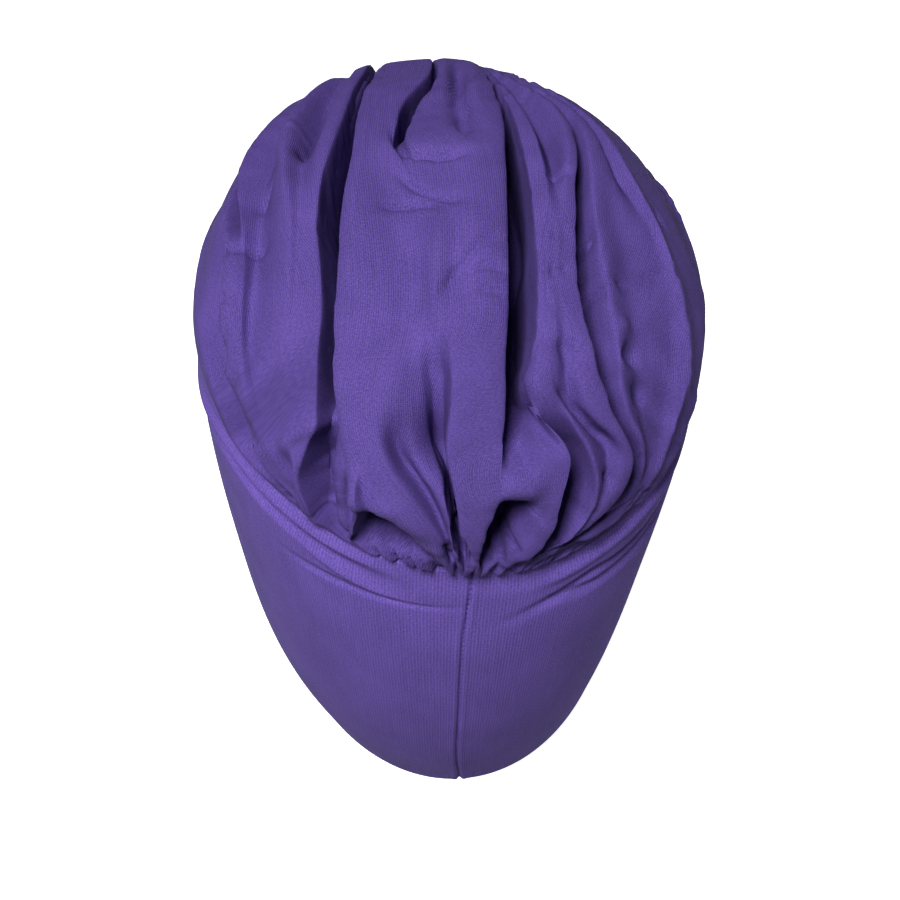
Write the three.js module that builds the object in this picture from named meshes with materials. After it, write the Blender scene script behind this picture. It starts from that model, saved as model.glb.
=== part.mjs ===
// A gathered jersey turban: a pleated crown panel sewn to the top of a tall double band.
// Millimetres. +Z is up, the front of the turban faces -Y and the wearer's left is +X.
// The origin is the middle of the head space. The turban keeps the form it has when worn.
import * as THREE from 'three';

// Driving dimensions
const CROWN_WALL = 1.5;
const BAND_WALL = 2.6;
const SEAM_GAP = 0.3;
const HEM_ROLL = 1.1;
const GATHER_HALF_ANGLE = THREE.MathUtils.degToRad(22);
const GATHER_RADIUS = 96;
const GATHER_PITCH = 7;
const GATHER_DEPTH = 1.5;
const CROWN_SPAN = 110;
const CROWN_ROWS = 39;
const BAND_COLUMNS = 64;
const SLIVER = 0.3;
const APEX_LEVEL = 1.98;

// How far above the seam, in levels, the folds, the gathers and the wall's own slant reach
// their full size, and how near the two gathers the even puckers begin and are full.
const FOLD_FADE = 0.07;
const GATHER_FADE = 0.03;
const SLANT_FADE = 0.05;
const GATHER_START = 0.8;
const GATHER_FULL = 0.92;
const TENSION_FADE = 0.03;
const TENSION_END = 10;
const DENT_SPREAD = 1.5;

// The cloth's outer surface as rings, from the hem (level 0) over the seam (level 1) to the top
// of the crown (level 2). A ring runs from its back point to its front point, is halfWidth wide
// to each side of centreX, and bends out of its plane at its sides: by droop on both of them, and
// by skew up on one quarter and down on the next. It may be wider behind (egg) or squarer than
// an ellipse.
const RING_COLUMNS = [
  'level', 'backY', 'backZ', 'frontY', 'frontZ', 'halfWidth', 'droop', 'egg', 'square', 'centreX', 'skew',
];
const RINGS = [
  [0.00, 75, -91, -92, 4, 63, -6.5, 0.02, 2, 0, 0],
  [0.25, 86, -64, -96, 18, 70, -4, 0, 2.06, 2, 0],
  [0.50, 94, -33, -97, 31, 74.5, 2.5, 0, 2.12, 2, 0],
  [0.75, 97, 0, -96, 43, 78.5, 12, 0.02, 2.15, 1.5, 2],
  [1.00, 97, 38.5, -94, 53, 81.5, 26, 0.06, 2.16, 0, 5],
  [1.10, 101, 50, -96, 68, 81.5, 22, 0.05, 2.14, -0.5, 4],
  [1.21, 99.5, 72, -96, 83, 78.5, 8.5, 0.12, 2.12, -0.5, 1],
  [1.36, 88.5, 93.5, -86, 102, 69.5, 6.5, 0.15, 2.08, 1, 0],
  [1.61, 53, 117, -56, 117, 49.5, 4, 0.08, 2, 0.5, 0],
  [2.00, 0, 126, 0, 126, 0, 0, 0, 2, 0, 0],
];

// The crown's fold lines, from the wearer's left side to the right. Each runs from the back
// gather to the front gather. Its place across the crown (u, 1 to -1) and its height above or
// below the rings are given at six stations, and steps is the columns up to the next line.
const STATIONS = [-0.86, -0.70, -0.55, -0.20, 0.15, 0.60];
const FOLD_COLUMNS = [
  'name', 'uGather', 'uLow', 'uWaist', 'uMid', 'uTop', 'uFront',
  'hGather', 'hLow', 'hWaist', 'hMid', 'hTop', 'hFront', 'steps',
];
const FOLD_LINES = [
  ['side_left', 1, 1, 1, 1, 1, 1, 0, 0, 0, 0, 0, 0, 2],
  ['outer_crest', 0.9, 0.86, 0.855, 0.79, 0.69, 0.6, 0.5, 1.5, 1, 0, 0.5, 1.5, 1],
  ['outer_valley_floor', 0.84, 0.765, 0.725, 0.615, 0.605, 0.535, -0.5, -3.5, -6, -6, -3, -2, 1],
  ['left_layer', 0.82, 0.745, 0.71, 0.59, 0.585, 0.52, 1, 1.5, 1, 1, 1, 2, 1],
  ['left_groove', 0.805, 0.71, 0.675, 0.57, 0.565, 0.5, 1, 1, 1, 0.5, -4, 0, 1],
  ['left_groove_lip', 0.795, 0.67, 0.64, 0.55, 0.545, 0.47, 1, 1, 1, 0.5, 1.5, 4, 1],
  ['soft_dent', 0.79, 0.63, 0.575, 0.48, 0.46, 0.42, 1, 0, -0.5, -1, -2, 2.5, 1],
  ['broad_crest', 0.785, 0.6, 0.49, 0.385, 0.41, 0.36, 1.5, 3, 2.5, 3.5, 2.5, 3, 1],
  ['pocket_valley', 0.78, 0.595, 0.455, 0.355, 0.355, 0.31, 1.5, 2.5, 2.5, 3.5, -5, -4, 1],
  ['pocket_ridge', 0.775, 0.59, 0.42, 0.325, 0.3, 0.28, 1.5, 2.5, 2.5, 3, 2.5, 3, 1],
  ['channel_1_lip', 0.77, 0.58, 0.39, 0.3, 0.25, 0.22, 1.5, 2.5, 2.5, 3, 2.5, 3, 1],
  ['channel_1_floor', 0.755, 0.56, 0.38, 0.29, 0.24, 0.215, -4, -12, -14.5, -15, -15, -5, 1],
  ['channel_1_inner_floor', 0.725, 0.49, 0.345, 0.26, 0.22, 0.195, -5, -13, -14.5, -15, -15, -5, 1],
  ['strip_left', 0.69, 0.475, 0.34, 0.25, 0.215, 0.19, -2.5, -6.5, -7, -10, -8, -3, 1],
  ['panel_left_lip', 0.565, 0.385, 0.325, 0.24, 0.2, 0.165, 1.5, 2.5, 3, 3, 2.5, 1.5, 1],
  ['panel_left_crest', 0.52, 0.355, 0.305, 0.215, 0.18, 0.15, 1, 3.5, 4, 4, 4, 2, 1],
  ['facet_edge', 0.225, 0.315, 0.265, 0.175, 0.15, 0.13, 3, 4, 4.5, 4.5, 4, 2, 1],
  ['diagonal_ridge', 0.115, 0.23, 0.235, 0.16, 0.14, 0.11, 3, 4.5, 4.5, 5, 4, 2, 1],
  ['diagonal_hollow', 0.095, 0.205, 0.195, 0.14, 0.125, 0.09, 1, -0.5, 4, 5, 4, 2, 1],
  ['slit_left_lip', 0.07, 0.105, 0.1, 0.09, 0.105, 0.025, 3, 3.5, 4.5, 5, 4, 2, 1],
  ['slit_floor', 0.065, 0.095, 0.08, 0.08, 0.095, 0.015, -11, -9, 4.5, 5, -8, -4, 1],
  ['slit_right_lip', 0.045, 0.05, 0.04, 0.055, 0.055, -0.02, 3.5, 4.5, 5, 5, 3, 2, 2],
  ['panel_right_crest', -0.01, -0.04, -0.055, -0.05, -0.07, -0.1, 4, 5, 5, 5, 4, 2.5, 1],
  ['panel_right_lip', -0.065, -0.1, -0.11, -0.125, -0.15, -0.19, 2, 4, 3, 3, 2.5, 1.5, 1],
  ['channel_2_inner_floor', -0.08, -0.115, -0.118, -0.13, -0.155, -0.194, -1, -4, -15, -15, -15, -3, 1],
  ['channel_2_floor', -0.17, -0.165, -0.175, -0.19, -0.19, -0.2, 1, -4, -15, -15, -15, -3, 1],
  ['fold_b_left_lip', -0.32, -0.3, -0.19, -0.2, -0.2, -0.205, 4, 4, 2.5, 2.5, 2, 1, 2],
  ['low_valley_floor', -0.43, -0.36, -0.235, -0.22, -0.215, -0.22, -6, -5, 3.5, 4, 2.5, 1, 1],
  ['strip_ridge', -0.46, -0.38, -0.255, -0.23, -0.22, -0.225, 1.5, 3, 4, 4, 2.5, 1, 1],
  ['fold_b_crest', -0.495, -0.51, -0.32, -0.26, -0.23, -0.24, 1.5, 3, 3.5, 4, 2, 1, 1],
  ['fold_b_right_lip', -0.51, -0.56, -0.39, -0.28, -0.24, -0.25, 1.5, 3, 3, 3, 2, 1, 1],
  ['recess_inner_floor', -0.52, -0.57, -0.4, -0.285, -0.248, -0.258, -1, -8, -8, -7, -4, -1, 1],
  ['recess_floor', -0.56, -0.64, -0.445, -0.315, -0.26, -0.28, -1.5, -8, -6.5, -6, -5, -1, 1],
  ['right_panel_lip', -0.62, -0.7, -0.475, -0.33, -0.28, -0.31, 0.5, -1, 0, 1, 1.5, 1, 2],
  ['right_panel_middle', -0.7, -0.75, -0.585, -0.43, -0.3, -0.335, 0, 0, -0.5, 0, 1.5, 1, 2],
  ['lateral_groove', -0.78, -0.785, -0.705, -0.565, -0.325, -0.355, 0, 0, 0, -0.5, -3, -3, 1],
  ['lateral_ridge', -0.8, -0.8, -0.73, -0.585, -0.345, -0.375, 0, 1, 1, 1, 1, 0, 1],
  ['lateral_valley', -0.85, -0.84, -0.79, -0.66, -0.44, -0.44, 0, 0.5, 0, 0, 0.5, -0.5, 2],
  ['outer_strip', -0.92, -0.92, -0.9, -0.83, -0.7, -0.62, 0.5, 2, 1.5, 1, 1, 1, 2],
  ['side_right', -1, -1, -1, -1, -1, -1, 0, 0, 0, 0, 0, 0, 0],
];

// Short dents and ridges near the back gather, each along a line from one place to another.
const DENT_COLUMNS = ['name', 'fromU', 'fromV', 'toU', 'toV', 'halfWidth', 'height'];
const DENTS = [
  ['pocket_brow', 0.36, -0.60, 0.60, -0.66, 2.6, 4],
  ['gather_edge', 0.37, -0.785, 0.17, -0.89, 2.5, 2],
  ['gather_hollow', 0.42, -0.81, 0.22, -0.89, 3.8, -6],
  ['tuck_ridge', -0.02, -0.80, -0.24, -0.80, 2.5, 1.5],
  ['tuck_hollow', -0.10, -0.83, -0.16, -0.87, 3.4, -6],
  ['fold_b_pocket', -0.25, 0.06, -0.27, 0, 2.5, -4],
];

// Tension folds of the band, just under the seam. Each follows the band from one angle to
// another (degrees from the back, positive on the wearer's left) at a level that may change.
const TENSION_COLUMNS = [
  'name', 'fromAngle', 'toAngle', 'fromLevel', 'midLevel', 'toLevel', 'halfWidth', 'height',
];
const TENSION_FOLDS = [
  ['left_groove', 84, 8, 0.84, 0.935, 0.925, 4, -1.4],
  ['left_roll', 86, 14, 0.90, 0.965, 0.96, 3.5, 1.4],
  ['left_low_crease', 36, 2, 0.87, 0.90, 0.89, 3.5, -0.8],
  ['right_upper_crease', -8, -66, 0.90, 0.915, 0.90, 3.5, -1.3],
  ['right_low_crease', -14, -60, 0.87, 0.86, 0.82, 4, -1.1],
  ['right_roll', -12, -64, 0.94, 0.955, 0.94, 3.5, 1.3],
];
const BAND_LEVELS = [0, 0.12, 0.27, 0.43, 0.57, 0.69, 0.78, 0.84, 0.89, 0.93, 0.965];

const asObject = (columns) => (row) => Object.fromEntries(columns.map((column, i) => [column, row[i]]));
const rings = RINGS.map(asObject(RING_COLUMNS));
const foldLines = FOLD_LINES.map(asObject(FOLD_COLUMNS));
const dents = DENTS.map(asObject(DENT_COLUMNS));
const tensionFolds = TENSION_FOLDS.map(asObject(TENSION_COLUMNS));

const clamp = THREE.MathUtils.clamp;
const smooth = (x) => THREE.MathUtils.smoothstep(x, 0, 1);

// A smooth curve through the points (xs, ys), with the slope at each worked out from both sides.
function curveThrough(xs, ys, x) {
  const last = xs.length - 1;
  const slope = (i) => (ys[i + 1] - ys[i]) / (xs[i + 1] - xs[i]);
  const tangent = (i) => {
    if (i === 0) return slope(0);
    if (i === last) return slope(last - 1);
    const before = xs[i] - xs[i - 1];
    const after = xs[i + 1] - xs[i];
    return (slope(i - 1) * after + slope(i) * before) / (before + after);
  };
  let i = 0;
  while (i < last - 1 && x >= xs[i + 1]) i += 1;
  const width = xs[i + 1] - xs[i];
  const t = (x - xs[i]) / width;
  const rise = (2 * t - 3) * t * t + 1;
  const leaving = ((t - 2) * t + 1) * t * width;
  const arriving = (t - 1) * t * t * width;
  return rise * ys[i] + (1 - rise) * ys[i + 1] + leaving * tangent(i) + arriving * tangent(i + 1);
}

// A point of the outer surface. The angle is 0 at the back (+Y) and a quarter turn at +X.
const ringLevels = rings.map((ring) => ring.level);
function surfacePoint(level, angle) {
  const at = (column) => curveThrough(ringLevels, rings.map((ring) => ring[column]), level);
  const power = 2 / at('square');
  const squared = (x) => Math.sign(x) * Math.abs(x) ** power;
  const c = Math.cos(angle);
  const s = Math.sin(angle);
  const along = squared(c);
  const x = at('centreX') + at('halfWidth') * squared(s) * (1 + at('egg') * c);
  const y = (at('backY') + at('frontY')) / 2 + ((at('backY') - at('frontY')) / 2) * along;
  const z = (at('backZ') + at('frontZ')) / 2 + ((at('backZ') - at('frontZ')) / 2) * along;
  return new THREE.Vector3(x, y, z + at('droop') * s * s + at('skew') * Math.sin(2 * angle));
}

// The outward direction of that surface, held just off the very top, where all angles meet.
function surfaceOutward(level, angle) {
  const step = 1e-3;
  const near = Math.min(level, APEX_LEVEL);
  const upwards = surfacePoint(near + step, angle).sub(surfacePoint(near - step, angle));
  const sideways = surfacePoint(near, angle + step).sub(surfacePoint(near, angle - step));
  return sideways.cross(upwards).normalize().negate();
}

// A place on the crown: u across the pleats, v along them from the back gather (-1) to the
// front gather (1). All pleats run together into a short stretch of the seam at both ends.
function crownPlace(u, v) {
  const turn = GATHER_HALF_ANGLE * u;
  const ahead = v * Math.cos(turn);
  const aside = Math.sign(u) * Math.sqrt((1 - v * v) * u * u + (v * Math.sin(turn)) ** 2);
  const reach = Math.min(Math.hypot(ahead, aside), 1);
  return [2 - reach, Math.atan2(aside, -ahead)];
}
const crownPoint = (u, v) => surfacePoint(...crownPlace(u, v));

// Height of a soft ridge (or a dent, below zero) that runs between two points of the cloth.
function ridgeHeight(point, from, to, halfWidth, height) {
  const nearest = new THREE.Line3(from, to).closestPointToPoint(point, true, new THREE.Vector3());
  const x = Math.min(point.distanceTo(nearest) / (DENT_SPREAD * halfWidth), 1);
  return height * (1 - x * x) ** 2;
}

// The crown's cross-section at one v: u and height of every column, along a smooth curve that
// passes through all fold lines. Its parameter follows the root of the distance between lines,
// which keeps the steep channel walls free of loops.
const stationPlaces = [-1, ...STATIONS, 1];
function foldLinePoint(line, v) {
  const us = [line.uGather, line.uLow, line.uWaist, line.uMid, line.uTop, line.uFront];
  const hs = [line.hGather, line.hLow, line.hWaist, line.hMid, line.hTop, line.hFront];
  const held = (values) => curveThrough(stationPlaces, [values[0], ...values, values.at(-1)], v);
  return new THREE.Vector2(held(us) * CROWN_SPAN, held(hs));
}
function crossSection(v) {
  const lines = foldLines.map((line) => foldLinePoint(line, v));
  const count = lines.length;
  const first = lines[0].clone().multiplyScalar(2).sub(lines[1]);
  const last = lines[count - 1].clone().multiplyScalar(2).sub(lines[count - 2]);
  const points = [first, ...lines, last];
  const section = [];
  for (let k = 0; k < count - 1; k += 1) {
    const p = points.slice(k, k + 4);
    const knots = [0];
    for (let i = 0; i < 3; i += 1) knots.push(knots[i] + Math.sqrt(p[i].distanceTo(p[i + 1])));
    const between = (a, b, i, j, t) => a.clone().lerp(b, (t - knots[i]) / (knots[j] - knots[i]));
    for (let n = 0; n < foldLines[k].steps; n += 1) {
      const t = knots[1] + (n / foldLines[k].steps) * (knots[2] - knots[1]);
      const a = [0, 1, 2].map((i) => between(p[i], p[i + 1], i, i + 1, t));
      const b = [0, 1].map((i) => between(a[i], a[i + 1], i, i + 2, t));
      section.push(between(b[0], b[1], 1, 2, t));
    }
  }
  section.push(lines[count - 1]);
  return section.map((point) => ({ u: clamp(point.x / CROWN_SPAN, -1, 1), height: point.y }));
}

// The crown's columns and rows of outer points. Folds and dents die away into the seam, and
// close to it the cloth is drawn into even gathers.
function crownGrid() {
  const rows = [];
  const ends = dents.map((dent) => ({
    ...dent,
    from: crownPoint(dent.fromU, dent.fromV),
    to: crownPoint(dent.toU, dent.toV),
  }));
  for (let j = 0; j <= CROWN_ROWS; j += 1) {
    const even = (2 * j) / CROWN_ROWS - 1;
    const v = (even - Math.cos((Math.PI * j) / CROWN_ROWS)) / 2;
    rows.push(crossSection(v).map(({ u, height }) => {
      const [level, angle] = crownPlace(u, v);
      const base = surfacePoint(level, angle);
      const fade = smooth((level - 1) / FOLD_FADE);
      const nearGather = smooth((Math.abs(v) - GATHER_START) / (GATHER_FULL - GATHER_START));
      const gathered = nearGather * smooth((level - 1) / GATHER_FADE);
      const arc = GATHER_HALF_ANGLE * u * GATHER_RADIUS;
      let raised = height * fade;
      for (const dent of ends) {
        raised += fade * ridgeHeight(base, dent.from, dent.to, dent.halfWidth, dent.height);
      }
      raised += gathered * GATHER_DEPTH * Math.cos((2 * Math.PI * arc) / GATHER_PITCH);
      const outward = surfaceOutward(level, angle);
      const free = smooth((level - 1) / SLANT_FADE);
      return { point: base.addScaledVector(outward, raised), outward, free };
    }));
  }
  const columns = rows[0].map((_, i) => rows.map((row) => row[i]));
  return columns;
}

// The band's columns and rows of outer points, from the hem up to just under the seam.
function bandGrid() {
  const folds = tensionFolds.map((fold) => ({
    ...fold,
    places: [fold.fromAngle, (fold.fromAngle + fold.toAngle) / 2, fold.toAngle],
    levels: [fold.fromLevel, fold.midLevel, fold.toLevel],
  }));
  const columns = [];
  for (let i = 0; i < BAND_COLUMNS; i += 1) {
    const degrees = (360 * i) / BAND_COLUMNS - 180;
    const angle = THREE.MathUtils.degToRad(degrees);
    const perLevel = surfacePoint(1, angle).distanceTo(surfacePoint(0.99, angle)) / 0.01;
    const top = 1 - SEAM_GAP / perLevel;
    columns.push([...BAND_LEVELS, top].map((level) => {
      const base = surfacePoint(level, angle);
      let raised = 0;
      for (const fold of folds) {
        const forward = fold.places[0] > fold.places[2] ? -1 : 1;
        const xs = fold.places.map((place) => place * forward);
        const along = clamp(degrees * forward, xs[0], xs[2]);
        const middle = surfacePoint(curveThrough(xs, fold.levels, along), angle);
        const fromStart = degrees * forward - xs[0];
        const toEnd = xs[2] - degrees * forward;
        const ends = smooth(fromStart / TENSION_END) * smooth(toEnd / TENSION_END);
        raised += ends * ridgeHeight(base, middle, middle, fold.halfWidth, fold.height);
      }
      raised *= smooth((top - level) / TENSION_FADE);
      const outward = surfaceOutward(level, angle);
      const free = smooth((top - level) / SLANT_FADE);
      return { point: base.addScaledVector(outward, raised), outward, free };
    }));
  }
  return columns;
}

// A closed wall from a grid of outer points: the inner face lies one wall thickness inside,
// along each point's own outward direction, and strips close the edges. A wrapped grid is a
// ring. A roll above zero rounds the first row's edge, as a folded hem is round.
function wallGeometry(columns, wall, wrapped, roll) {
  const across = columns.length;
  const along = columns[0].length;
  const outer = (i, j) => columns[(i + across) % across][j].point;
  const directionOf = (i, j) => {
    const left = wrapped ? i - 1 : Math.max(i - 1, 0);
    const right = wrapped ? i + 1 : Math.min(i + 1, across - 1);
    const down = Math.max(j - 1, 0);
    const up = Math.min(j + 1, along - 1);
    const onEdge = down === j || up === j || left === i || right === i;
    const { outward, free } = columns[i][j];
    if (onEdge) return outward;
    const sideways = outer(right, j).clone().sub(outer(left, j)).normalize();
    const upwards = outer(i, up).clone().sub(outer(i, down)).normalize();
    const direction = sideways.cross(upwards);
    if (direction.length() < SLIVER) return outward;
    direction.normalize();
    if (direction.dot(outward) < 0) direction.negate();
    return direction.lerp(outward, 1 - free).normalize();
  };
  const positions = [];
  const indices = [];
  const outerIndex = (i, j) => ((i + across) % across) * along + j;
  const innerIndex = (i, j) => across * along + outerIndex(i, j);
  for (let i = 0; i < across; i += 1) {
    for (let j = 0; j < along; j += 1) positions.push(...outer(i, j));
  }
  for (let i = 0; i < across; i += 1) {
    for (let j = 0; j < along; j += 1) {
      positions.push(...outer(i, j).clone().addScaledVector(directionOf(i, j), -wall));
    }
  }
  const quad = (a, b, c, d) => indices.push(a, b, c, a, c, d);
  const spans = wrapped ? across : across - 1;
  for (let i = 0; i < spans; i += 1) {
    for (let j = 0; j < along - 1; j += 1) {
      quad(outerIndex(i, j), outerIndex(i + 1, j), outerIndex(i + 1, j + 1), outerIndex(i, j + 1));
      quad(innerIndex(i, j), innerIndex(i, j + 1), innerIndex(i + 1, j + 1), innerIndex(i + 1, j));
    }
    const top = along - 1;
    quad(outerIndex(i, top), outerIndex(i + 1, top), innerIndex(i + 1, top), innerIndex(i, top));
    if (roll === 0) quad(innerIndex(i, 0), innerIndex(i + 1, 0), outerIndex(i + 1, 0), outerIndex(i, 0));
  }
  if (roll > 0) {
    const rollStart = positions.length / 3;
    for (let i = 0; i < across; i += 1) {
      const middle = outer(i, 0).clone().addScaledVector(directionOf(i, 0), -wall / 2);
      const outwards = outer(i, 0).clone().sub(outer(i, 1)).normalize();
      positions.push(...middle.addScaledVector(outwards, roll));
    }
    for (let i = 0; i < spans; i += 1) {
      const here = rollStart + i;
      const next = rollStart + ((i + 1) % across);
      quad(innerIndex(i, 0), innerIndex(i + 1, 0), next, here);
      quad(here, next, outerIndex(i + 1, 0), outerIndex(i, 0));
    }
  }
  if (!wrapped) {
    const end = across - 1;
    for (let j = 0; j < along - 1; j += 1) {
      quad(innerIndex(0, j), outerIndex(0, j), outerIndex(0, j + 1), innerIndex(0, j + 1));
      quad(outerIndex(end, j), innerIndex(end, j), innerIndex(end, j + 1), outerIndex(end, j + 1));
    }
  }
  const geometry = new THREE.BufferGeometry();
  geometry.setAttribute('position', new THREE.Float32BufferAttribute(positions, 3));
  geometry.setIndex(indices);
  return geometry;
}

// A closed geometry with its faces turned outwards, whichever way its grid runs.
function facingOutwards(geometry) {
  const index = geometry.index;
  const position = geometry.attributes.position;
  const corners = [0, 1, 2].map(() => new THREE.Vector3());
  let volume = 0;
  for (let i = 0; i < index.count; i += 3) {
    corners.forEach((corner, k) => corner.fromBufferAttribute(position, index.getX(i + k)));
    volume += corners[0].dot(corners[1].clone().cross(corners[2])) / 6;
  }
  if (volume < 0) {
    for (let i = 0; i < index.count; i += 3) {
      const second = index.getX(i + 1);
      index.setX(i + 1, index.getX(i + 2));
      index.setX(i + 2, second);
    }
  }
  geometry.computeVertexNormals();
  return geometry;
}

const jersey = (color) => new THREE.MeshStandardMaterial({ color, roughness: 0.92, metalness: 0 });

const crownWall = wallGeometry(crownGrid(), CROWN_WALL, false, 0);
const crownPanel = new THREE.Mesh(facingOutwards(crownWall), jersey(0x5f4f94));
crownPanel.name = 'crown_panel';

const bandWall = wallGeometry(bandGrid(), BAND_WALL, true, HEM_ROLL);
const headBand = new THREE.Mesh(facingOutwards(bandWall), jersey(0x66569b));
headBand.name = 'head_band';

const turban = new THREE.Group();
turban.add(crownPanel, headBand);
export default turban;
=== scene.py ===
from math import cos, pi, radians, sin

import bpy
import numpy as np
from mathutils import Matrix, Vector


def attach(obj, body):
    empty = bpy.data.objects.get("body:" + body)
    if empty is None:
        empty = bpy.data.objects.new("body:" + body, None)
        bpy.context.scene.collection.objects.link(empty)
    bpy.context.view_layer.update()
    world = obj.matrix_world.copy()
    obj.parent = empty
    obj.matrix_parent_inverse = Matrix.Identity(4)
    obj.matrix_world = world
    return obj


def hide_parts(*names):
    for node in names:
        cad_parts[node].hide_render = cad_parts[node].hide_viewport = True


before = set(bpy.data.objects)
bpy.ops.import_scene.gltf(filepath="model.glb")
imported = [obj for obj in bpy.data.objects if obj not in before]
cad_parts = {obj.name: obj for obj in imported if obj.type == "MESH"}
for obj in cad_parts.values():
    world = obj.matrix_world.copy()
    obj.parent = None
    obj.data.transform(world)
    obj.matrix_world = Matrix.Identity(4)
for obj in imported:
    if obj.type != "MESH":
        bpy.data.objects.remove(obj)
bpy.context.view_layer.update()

# The camera stands behind the wearer, well above the nape, and looks down on
# the crown from four degrees to the wearer's left of the centre-back seam.
LOOK_AT = Vector((0, 0, 0.010))
LOOK_DOWN = radians(42)
LOOK_ASIDE = radians(4)
STAND_OFF = 0.700
towards_camera = Vector(
    (
        sin(LOOK_ASIDE) * cos(LOOK_DOWN),
        cos(LOOK_ASIDE) * cos(LOOK_DOWN),
        sin(LOOK_DOWN),
    )
)
lens = bpy.data.cameras.new("camera")
lens.lens = 80
lens.sensor_width = 36
lens.shift_x = 0.0056
lens.shift_y = -0.0244
camera = bpy.data.objects.new("camera", lens)
bpy.context.collection.objects.link(camera)
camera.location = LOOK_AT + towards_camera * STAND_OFF
camera.rotation_euler = (-towards_camera).to_track_quat("-Z", "Y").to_euler()
bpy.context.scene.camera = camera


# The studio is a white floor far below the turban, one soft key light above
# and to the left of the camera, a low reflector at each side and a dim room.
def linear(hex_colour):
    """An sRGB hex colour as the linear colour that a shader takes."""
    tones = [int(hex_colour[i : i + 2], 16) / 255 for i in (1, 3, 5)]
    return tuple(t / 12.92 if t <= 0.04045 else ((t + 0.055) / 1.055) ** 2.4 for t in tones) + (1,)


FLOOR_HEIGHT = -0.34
FLOOR_GLOW = 0.96
ROOM_LIGHT = 0.05
bpy.ops.mesh.primitive_plane_add(size=8, location=(0, 0, FLOOR_HEIGHT))
floor = bpy.context.active_object
floor.name = "floor"
floor.visible_diffuse = False
paper = bpy.data.materials.new("white paper floor")
paper.use_nodes = True
paper_shader = paper.node_tree.nodes["Principled BSDF"]
paper_shader.inputs["Base Color"].default_value = linear("#F6F6F6")
paper_shader.inputs["Roughness"].default_value = 0.9
paper_shader.inputs["Emission Color"].default_value = (1, 1, 1, 1)
paper_shader.inputs["Emission Strength"].default_value = FLOOR_GLOW
floor.data.materials.append(paper)

room = bpy.data.worlds.new("room")
room.use_nodes = True
room.node_tree.nodes["Background"].inputs["Color"].default_value = (1, 1, 1, 1)
room.node_tree.nodes["Background"].inputs["Strength"].default_value = ROOM_LIGHT
bpy.context.scene.world = room
bpy.context.scene.view_settings.view_transform = "Standard"


def soft_light(name, place, size, power):
    """A square soft light that faces the turban."""
    lamp = bpy.data.lights.new(name, "AREA")
    lamp.size = size
    lamp.energy = power
    stand = bpy.data.objects.new(name, lamp)
    stand.location = place
    stand.rotation_euler = (LOOK_AT - Vector(place)).to_track_quat("-Z", "Y").to_euler()
    bpy.context.collection.objects.link(stand)


soft_light("key light", place=(0.32, 0.76, 1.18), size=0.42, power=35)
soft_light("left reflector", place=(0.95, 0.40, -0.50), size=0.70, power=10)
soft_light("right reflector", place=(-0.95, 0.40, -0.50), size=0.70, power=10)


# The form under both pieces is a stack of rings, in mm: level 0 is the hem, 1
# the seam between band and crown, and 2 the top. The wearer's back is +Y, the
# wearer's left is +X, and angles count from the centre back towards the left.
RING_COLUMNS = [
    "level", "back_y", "back_z", "front_y", "front_z", "half_width",
    "droop", "egg", "square", "centre_x", "skew",
]
RINGS = [
    (0, 75, -91, -92, 4, 63, -6.5, 0.02, 2, 0, 0),
    (0.25, 86, -64, -96, 18, 70, -4, 0, 2.06, 2, 0),
    (0.5, 94, -33, -97, 31, 74.5, 2.5, 0, 2.12, 2, 0),
    (0.75, 97, 0, -96, 43, 78.5, 12, 0.02, 2.15, 1.5, 2),
    (1, 97, 38.5, -94, 53, 81.5, 26, 0.06, 2.16, 0, 5),
    (1.1, 101, 50, -96, 68, 81.5, 22, 0.05, 2.14, -0.5, 4),
    (1.21, 99.5, 72, -96, 83, 78.5, 8.5, 0.12, 2.12, -0.5, 1),
    (1.36, 88.5, 93.5, -86, 102, 69.5, 6.5, 0.15, 2.08, 1, 0),
    (1.61, 53, 117, -56, 117, 49.5, 4, 0.08, 2, 0.5, 0),
    (2, 0, 126, 0, 126, 0, 0, 0, 2, 0, 0),
]


def through(stops, values, where):
    """A smooth curve through the values at uneven stops, read at where."""
    stops = np.asarray(stops, float)
    values = np.asarray(values, float)
    gaps = np.diff(stops)
    rises = np.diff(values) / gaps
    slopes = np.empty_like(values)
    slopes[1:-1] = (rises[:-1] * gaps[1:] + rises[1:] * gaps[:-1]) / (gaps[1:] + gaps[:-1])
    slopes[0], slopes[-1] = rises[0], rises[-1]
    i = np.clip(np.searchsorted(stops, where, side="right") - 1, 0, len(stops) - 2)
    t = (where - stops[i]) / gaps[i]
    start = (2 * t**3 - 3 * t**2 + 1) * values[i] + (t**3 - 2 * t**2 + t) * gaps[i] * slopes[i]
    end = (3 * t**2 - 2 * t**3) * values[i + 1] + (t**3 - t**2) * gaps[i] * slopes[i + 1]
    return start + end


def on_form(level, angle):
    """The point of the form at a level and an angle."""
    level, angle = np.broadcast_arrays(np.asarray(level, float), np.asarray(angle, float))
    levels = [row[0] for row in RINGS]
    ring = {}
    for i, name in enumerate(RING_COLUMNS[1:], 1):
        ring[name] = through(levels, [row[i] for row in RINGS], level)
    power = 2 / ring["square"]
    back = np.sign(np.cos(angle)) * np.abs(np.cos(angle)) ** power
    side = np.sign(np.sin(angle)) * np.abs(np.sin(angle)) ** power
    x = ring["centre_x"] + ring["half_width"] * side * (1 + ring["egg"] * np.cos(angle))
    y = (ring["back_y"] + ring["front_y"]) / 2 + (ring["back_y"] - ring["front_y"]) / 2 * back
    z = (ring["back_z"] + ring["front_z"]) / 2 + (ring["back_z"] - ring["front_z"]) / 2 * back
    z = z + ring["droop"] * np.sin(angle) ** 2 + ring["skew"] * np.sin(2 * angle)
    return np.stack([x, y, z], -1)


# The crown is one oval of viscose jersey, gathered where it meets the band at
# the centre back and front. Its loose cloth lies in long folds front to back.
CROWN_SPAN = 110
GATHER_HALF_ANGLE = radians(22)

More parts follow.
